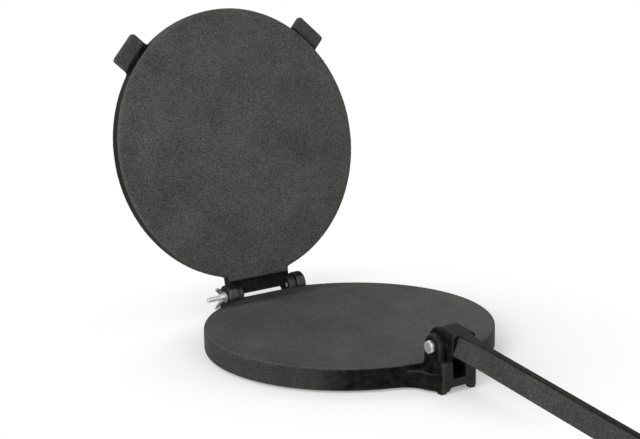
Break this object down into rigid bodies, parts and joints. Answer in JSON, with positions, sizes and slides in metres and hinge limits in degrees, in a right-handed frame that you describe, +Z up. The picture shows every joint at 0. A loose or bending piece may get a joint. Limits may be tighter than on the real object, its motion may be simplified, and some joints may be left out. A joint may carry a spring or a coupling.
{
  "type": "tortilla press",
  "caption": "Cast-iron tortilla press, open: round base, hinged upper plate with lifting tabs, hand lever in a clevis, wing nut at the hinge",
  "frame": {"origin": "on the table under the middle of the round base, on the foot of its centre boss", "axes": "+Z up, +Y from the hand lever's side towards the hinge, X along the hinge pins with the wing nut on -X"},
  "size_m": [0.26, 0.6212, 0.2851],
  "materials": {
    "seasoned_cast_iron": "sand-cast, oiled and baked, satin",
    "zinc_plated_steel": "bright zinc plating"
  },
  "bodies": {
    "base_body": {"base": "seasoned_cast_iron", "lever_bolt": "zinc_plated_steel", "lever_nut": "zinc_plated_steel", "hinge_bolt": "zinc_plated_steel", "hinge_stud": "zinc_plated_steel", "hinge_washer": "zinc_plated_steel"},
    "upper_plate_body": {"upper_plate": "seasoned_cast_iron"},
    "lever_body": {"lever": "seasoned_cast_iron"},
    "wing_nut_body": {"wing_nut": "zinc_plated_steel"}
  },
  "joints": [
    {"name": "plate_hinge", "type": "hinge", "parent": "base_body", "child": "upper_plate_body", "pos_m": [0, 0.1428, 0.0198], "axis": [1, 0, 0], "range_deg": [0, 102.8]},
    {"name": "lever_pivot", "type": "hinge", "parent": "base_body", "child": "lever_body", "pos_m": [0, -0.142, 0.0388], "axis": [-1, 0, 0], "range_deg": [0, 175.6]},
    {"name": "wing_nut_spin", "type": "hinge", "parent": "base_body", "child": "wing_nut_body", "pos_m": [-0.047, 0.1428, 0.0198], "axis": [1, 0, 0], "continuous": true}
  ]
}
